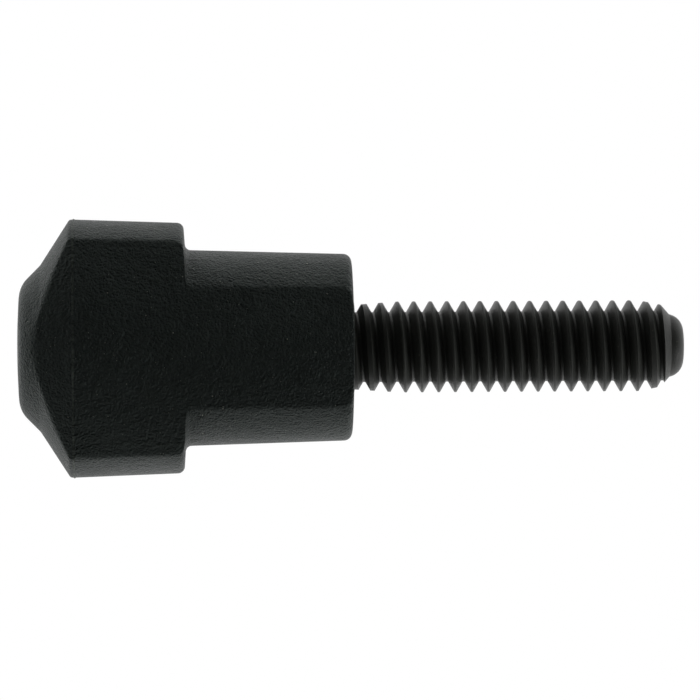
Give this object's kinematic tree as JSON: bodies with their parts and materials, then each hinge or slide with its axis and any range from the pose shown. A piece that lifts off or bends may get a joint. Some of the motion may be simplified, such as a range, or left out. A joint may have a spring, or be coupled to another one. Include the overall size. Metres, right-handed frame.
{
  "type": "thumb screw",
  "caption": "Thumb screw with a flat-sided black moulded knob on a long tapered hub, and a black steel threaded stud with a short rounded nose.",
  "frame": {"origin": "centre of the hub's end face, on the screw's axis, where the thread comes out", "axes": "+X along the stud towards its point, +Z out of the upper flat, Y across the head; the screw lies on its lower flat"},
  "size_m": [0.0567, 0.022, 0.0146],
  "materials": {
    "knob": "black moulded thermoplastic with a fine eroded grain",
    "stud": "black oxide on rolled steel thread"
  },
  "bodies": {
    "root": {"knob": "knob", "stud": "stud"}
  },
  "joints": []
}
